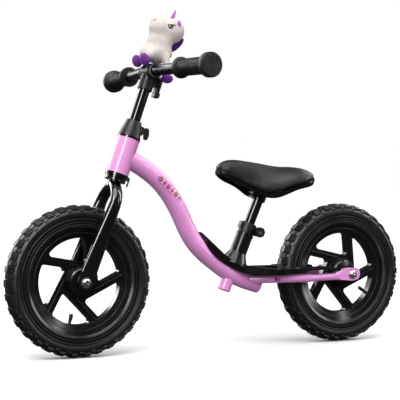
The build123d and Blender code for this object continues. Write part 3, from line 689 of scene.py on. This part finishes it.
# GLINTS are white thread spots on each eye, standing for its shine: painted highlight.
GLINTS = (((-113.2, 641.6), 1.6, 1.5), ((-109.8, 638.2), 0.9, 0.8))
STRAP_PLACE = 25
STRAP_SECTION = ((-4.4, 0.0), (-4.4, 0.9), (-3.6, 1.15), (3.6, 1.15), (4.4, 0.9), (4.4, 0.0))
STRAP_STEPS = 72


def add_stroke(bm, tree, ends, width, side, lift, bow=0.0, steps=7):
    """Row of thread between two points on a surface, bowed sideways."""
    (x0, z0), (x1, z1) = ends
    length = math.hypot(x1 - x0, z1 - z0)
    points = []
    for k in range(steps):
        t = k / (steps - 1)
        push = bow * math.sin(math.pi * t)
        x = x0 + (x1 - x0) * t - (z1 - z0) / length * push
        z = z0 + (z1 - z0) * t + (x1 - x0) / length * push
        point = laid(tree, x * MM, z * MM, side, lift)
        if point is not None:
            points.append(point)
    if len(points) > 2:
        add_tube(bm, points, width * MM, False, 6)


plush = surface_of(bpy.data.objects["toy_body_plush"])
dark = bmesh.new()
shine = bmesh.new()
for side in (-1, 1):
    add_spot(dark, plush, EYE, 5.2, 4.7, side, 0.0005)
    add_stroke(dark, plush, LID, 0.75, side, 0.0004, 2.2)
    for lash in LASHES:
        add_stroke(dark, plush, lash, 0.5, side, 0.0003, 0.6, 5)
    add_stroke(dark, plush, NOSTRIL, 0.8, side, 0.0003, 0.8)
    # White spots on each eye: painted highlight.
    for (place, half_x, half_z), sides in zip(GLINTS, (16, 12)):
        add_spot(shine, plush, place, half_x, half_z, side, 0.0009, sides)
stitched = plain_piece("toy_eyes_stitched", dark, "eye_thread", "handlebar")
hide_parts("toy_eyes")
plain_piece("toy_eyes_painted_highlight", shine, "eye_painted_highlight", "handlebar")

webbing = bmesh.new()
bar_axis = middle("toy_straps")
bar_axis.y = 0
for side in (-1, 1):
    rows = []
    for k in range(STRAP_STEPS + 1):
        # Each strap goes round the bar a little more than once, its end on top of its start.
        a = math.radians(-100 + 400 * k / STRAP_STEPS)
        r = 11.2 + 1.3 * k / STRAP_STEPS
        rows.append([])
        for y, up in STRAP_SECTION:
            out = Vector(((r + up) * math.cos(a), side * STRAP_PLACE + y, (r + up) * math.sin(a)))
            rows[-1].append(webbing.verts.new(bar_axis + out * MM))
    for here, there in zip(rows, rows[1:]):
        join_rings(webbing, here, there)
    webbing.faces.new(rows[0])
    webbing.faces.new(rows[-1])
straps = new_piece("toy_strap_webbing", webbing, "strap_webbing", "handlebar", False)
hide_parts("toy_straps")


# ---------------------------------------------------------------- saddle seam
# The CAD cushion's lower edge, as pairs of x and z in mm, and where the seam turns at nose and tail.
COVER_EDGE = (
    (0.5, 362), (12, 356), (38, 343), (75, 325), (105, 313),
    (140, 323), (178, 335), (202, 343), (215, 348),
)
SEAM_NOSE, SEAM_TAIL = 14, 200


def cover_edge(x):
    """Height of the cover's lower edge at x, in mm."""
    for (a, za), (b, zb) in zip(COVER_EDGE, COVER_EDGE[1:]):
        if x <= b:
            return za + (zb - za) * max(0.0, x - a) / (b - a)
    return COVER_EDGE[-1][1]


def seam_line(tree, rise, lift):
    """Closed line round the cover, a little above its lower edge."""
    places = []
    for x in range(SEAM_NOSE, SEAM_TAIL, 3):
        places.append((x, -1, 0.0))
    for k in range(1, 12):
        places.append((SEAM_TAIL, 0, -math.pi / 2 + math.pi * k / 12))
    for x in range(SEAM_TAIL - 1, SEAM_NOSE - 1, -3):
        places.append((x, 1, 0.0))
    for k in range(1, 12):
        places.append((SEAM_NOSE, 0, math.pi / 2 + math.pi * k / 12))
    line = []
    for x, side, turn in places:
        way = Vector((0, side, 0)) if side else Vector((math.cos(turn), math.sin(turn), 0))
        reach = 0 if side else 12 * math.cos(turn)
        level = (cover_edge(x + reach) + rise) * MM
        start = Vector((x * MM, 0, level))
        spot, normal, _, _ = tree.ray_cast(start + way * 0.2, -way)
        if spot is not None:
            if normal.dot(way) < 0:
                normal = -normal
            line.append(spot + normal * lift)
    return line


cover = surface_of(cushion)
piping = bmesh.new()
add_tube(piping, seam_line(cover, 2.2, 0.3 * MM), 1.1 * MM, True, 8)
new_piece("saddle_piping", piping, "saddle_cover", "seat")
stitches = bmesh.new()
thread = seam_line(cover, 6.0, 0.1 * MM)
for start, end in zip(thread[0::2], thread[1::2]):
    gap = (end - start).normalized() * 0.4 * MM
    add_tube(stitches, [start + gap, (start + end) / 2, end - gap], 0.35 * MM, False)
new_piece("saddle_stitches", stitches, "saddle_cover", "seat")


# ---------------------------------------------------------------- printed marks on the main tube
# A plain row of dots in an oval, ends as x and z in mm.
MARK_START, MARK_END = Vector((-129.5, 341.5)), Vector((-88.5, 304.5))
DOTS = 6
LARGE_DOT, SMALL_DOT = 4.7, 3.6


def add_loop_mark(bm, tree, start, end, radius, width, side):
    """Flat oval outline laid on the tube, its long axis from start to end."""
    along = (end - start).normalized()
    over = Vector((-along.y, along.x))
    rings = []
    for grow, lift in ((-width / 2, 0.0), (-width / 4, 0.00014), (width / 4, 0.00014), (width / 2, 0.0)):
        ring = []
        for corner, first in ((end, -90), (start, 90)):
            for k in range(13):
                a = math.radians(first + 15 * k)
                out = along * math.cos(a) + over * math.sin(a)
                ring.append(corner + out * (radius + grow))
        # The straight sides need points of their own, so that they follow the tube's bend.
        outline = []
        for i, place in enumerate(ring):
            outline.append(place)
            if i in (12, 25):
                after = ring[(i + 1) % len(ring)]
                outline += [place.lerp(after, t / 12) for t in range(1, 12)]
        points = [laid(tree, x * MM, z * MM, side, lift) for x, z in outline]
        if None in points:
            return
        rings.append([bm.verts.new(point) for point in points])
    for inner, outer in zip(rings, rings[1:]):
        join_rings(bm, inner, outer)


tube = surface_of(nodes["main_frame"])
warm = bmesh.new()
pale = bmesh.new()
for side in (-1, 1):
    for k in range(DOTS):
        place = MARK_START.lerp(MARK_END, k / (DOTS - 1))
        size = LARGE_DOT if k % 2 == 0 else SMALL_DOT
        add_spot(warm, tube, place, size, size, side, 0.00012)
        add_spot(pale, tube, place, size * 0.4, size * 0.4, side, 0.0002, 20)
    add_loop_mark(warm, tube, MARK_START, MARK_END, 6.6, 1.1, side)
plain_piece("tube_marks_warm", warm, "mark_warm", "frame")
plain_piece("tube_marks_pale", pale, "mark_pale", "frame")


# ---------------------------------------------------------------- grip ends
GRIP_END = (-128.4, 231, 548.4)
GRIP_AXIS = (17.3, 193, -4.1)
END_RINGS = ((18.6, 0.9), (12.6, 0.8), (5.2, 0.8))
RING_STEPS = 60


def make_grip_studs(side, name):
    """Rings and short ribs moulded on the grip's end face."""
    mirror = Vector((1, side, 1))
    end = Vector(GRIP_END) * mirror * MM
    axis = (Vector(GRIP_AXIS) * mirror).normalized()
    first = axis.cross(Vector((0, 0, 1))).normalized()
    second = axis.cross(first)
    bm = bmesh.new()

    def spot(r, a, out=0.0):
        return end + (first * math.cos(a) + second * math.sin(a)) * r * MM + axis * out * MM

    for r, thick in END_RINGS:
        points = [spot(r, 2 * math.pi * k / RING_STEPS) for k in range(RING_STEPS)]
        add_tube(bm, points, thick * MM, True)
    for count, shift, places, thick in (
        (16, 0.0, (13.4, 15.6, 17.8), 0.75),
        (8, 0.5, (6.2, 8.9, 11.6), 0.65),
    ):
        for k in range(count):
            a = 2 * math.pi * (k + shift) / count
            add_tube(bm, [spot(r, a, 0.05) for r in places], thick * MM, False)
    new_piece(f"{name}_grip_studs", bm, "grip_rubber", "handlebar")


for side, name in ((-1, "left"), (1, "right")):
    make_grip_studs(side, name)


# ---------------------------------------------------------------- studio
def studio_material(name, colour, rough):
    mat, shader = new_material(name, colour, rough)
    vary_colour(mat, shader, (shade(colour, 0.985), shade(colour, 1.0)), 3, object_coords(mat))
    return mat


bm = bmesh.new()
bmesh.ops.create_grid(bm, x_segments=2, y_segments=2, size=30)
floor_mesh = bpy.data.meshes.new("floor")
bm.to_mesh(floor_mesh)
bm.free()
floor = bpy.data.objects.new("floor", floor_mesh)
bpy.context.scene.collection.objects.link(floor)
floor_mesh.materials.append(studio_material("floor_paper", (0.93, 0.93, 0.93), 0.9))
floor.visible_diffuse = False
floor.visible_glossy = False

world = bpy.data.worlds.new("studio")
bpy.context.scene.world = world
world.use_nodes = True
sky_tree = world.node_tree
backdrop = sky_tree.nodes["Background"]
backdrop.inputs["Color"].default_value = (1, 1, 1, 1)
surround = sky_tree.nodes.new("ShaderNodeBackground")
rays = sky_tree.nodes.new("ShaderNodeLightPath")
either = sky_tree.nodes.new("ShaderNodeMixShader")
way = sky_tree.nodes.new("ShaderNodeTexCoord")
height = sky_tree.nodes.new("ShaderNodeSeparateXYZ")
fade = sky_tree.nodes.new("ShaderNodeMapRange")
fade.inputs["From Min"].default_value = -0.4
fade.inputs["From Max"].default_value = 0.9
fade.inputs["To Min"].default_value = 0.3
fade.inputs["To Max"].default_value = 0.75
sky_tree.links.new(way.outputs["Generated"], height.inputs["Vector"])
sky_tree.links.new(height.outputs["Z"], fade.inputs["Value"])


def sky_math(operation, first, second):
    """Arithmetic node in the sky's tree, from sockets or plain numbers."""
    node = sky_tree.nodes.new("ShaderNodeMath")
    node.operation = operation
    for socket, value in zip(node.inputs, (first, second)):
        if isinstance(value, (int, float)):
            socket.default_value = value
        else:
            sky_tree.links.new(value, socket)
    return node.outputs["Value"]


def sky_step(value, low, high):
    """0 below low, 1 above high, smooth between."""
    node = sky_tree.nodes.new("ShaderNodeMapRange")
    node.interpolation_type = "SMOOTHSTEP"
    node.inputs["From Min"].default_value = low
    node.inputs["From Max"].default_value = high
    sky_tree.links.new(value, node.inputs["Value"])
    return node.outputs["Result"]


# Glossy rays see three tall bright panels round a dark room, so that dark paint shows its form.
PANELS = 3
PANEL_TURN = 0.6
PANEL_STRENGTH, ROOM_STRENGTH = 8.0, 0.07
glossy = rays.outputs["Is Glossy Ray"]
bearing = sky_math("ARCTAN2", height.outputs["Y"], height.outputs["X"])
wave = sky_math("ADD", sky_math("MULTIPLY", bearing, PANELS), PANEL_TURN)
columns = sky_step(sky_math("COSINE", wave, 0), 0.86, 0.95)
above_foot = sky_step(height.outputs["Z"], 0.02, 0.12)
below_head = sky_math("SUBTRACT", 1.0, sky_step(height.outputs["Z"], 0.78, 0.88))
panels = sky_math("MULTIPLY", sky_math("MULTIPLY", columns, above_foot), below_head)
mirrored = sky_math("ADD", sky_math("MULTIPLY", panels, PANEL_STRENGTH), ROOM_STRENGTH)
unmirrored = sky_math("MULTIPLY", fade.outputs["Result"], sky_math("SUBTRACT", 1.0, glossy))
strength = sky_math("ADD", unmirrored, sky_math("MULTIPLY", mirrored, glossy))
sky_tree.links.new(strength, surround.inputs["Strength"])
sky_tree.links.new(rays.outputs["Is Camera Ray"], either.inputs["Fac"])
sky_tree.links.new(surround.outputs["Background"], either.inputs[1])
sky_tree.links.new(backdrop.outputs["Background"], either.inputs[2])
sky_tree.links.new(either.outputs["Shader"], sky_tree.nodes["World Output"].inputs["Surface"])


def area_light(name, place, target, width, height, power):
    """Softbox at a place, facing a target, that the camera doesn't see."""
    light = bpy.data.lights.new(name, "AREA")
    light.shape = "RECTANGLE"
    light.size = width
    light.size_y = height
    light.energy = power
    lamp = bpy.data.objects.new(name, light)
    bpy.context.scene.collection.objects.link(lamp)
    aim = (Vector(target) - Vector(place)).normalized()
    lamp.matrix_world = Matrix.Translation(place) @ aim.to_track_quat("-Z", "Y").to_matrix().to_4x4()
    lamp.visible_camera = False


sky = bpy.data.lights.new("sky_panel", "SUN")
sky.energy = 2.6
sky.angle = math.radians(60)
sky_lamp = bpy.data.objects.new("sky_panel", sky)
bpy.context.scene.collection.objects.link(sky_lamp)
sky_lamp.matrix_world = Vector((0.25, 0.35, -1)).to_track_quat("-Z", "Y").to_matrix().to_4x4()
area_light("key_softbox", (-1.7, -1.6, 1.5), (0, 0, 0.35), 0.5, 1.6, 16)
area_light("side_strip", (1.7, -1.9, 1.2), (0, 0, 0.3), 0.25, 1.6, 9)
area_light("back_left", (-1.5, 1.7, 1.2), (-0.2, 0, 0.2), 1.6, 1.4, 12)
area_light("back_right", (1.9, 1.0, 1.5), (0.2, 0, 0.2), 0.9, 1.2, 10)

YAW = math.radians(26.79)
PITCH_DOWN = math.radians(-1.07)
ROLL = math.radians(0.33)
LENS = 108.378
CAMERA_PLACE = (-1.1236, -2.1556, 0.3452)
flat = math.cos(PITCH_DOWN)
forward = Vector((math.sin(YAW) * flat, math.cos(YAW) * flat, math.sin(PITCH_DOWN)))
level = Vector((math.cos(YAW), -math.sin(YAW), 0))
upward = level.cross(forward)
right = level * math.cos(ROLL) + upward * math.sin(ROLL)
top = upward * math.cos(ROLL) - level * math.sin(ROLL)
lens = bpy.data.cameras.new("camera")
lens.sensor_width = 36
lens.lens = LENS
camera = bpy.data.objects.new("camera", lens)
bpy.context.scene.collection.objects.link(camera)
turn = Matrix((right, top, -forward)).transposed().to_4x4()
camera.matrix_world = Matrix.Translation(CAMERA_PLACE) @ turn
bpy.context.scene.camera = camera
bpy.context.scene.view_settings.view_transform = "Standard"
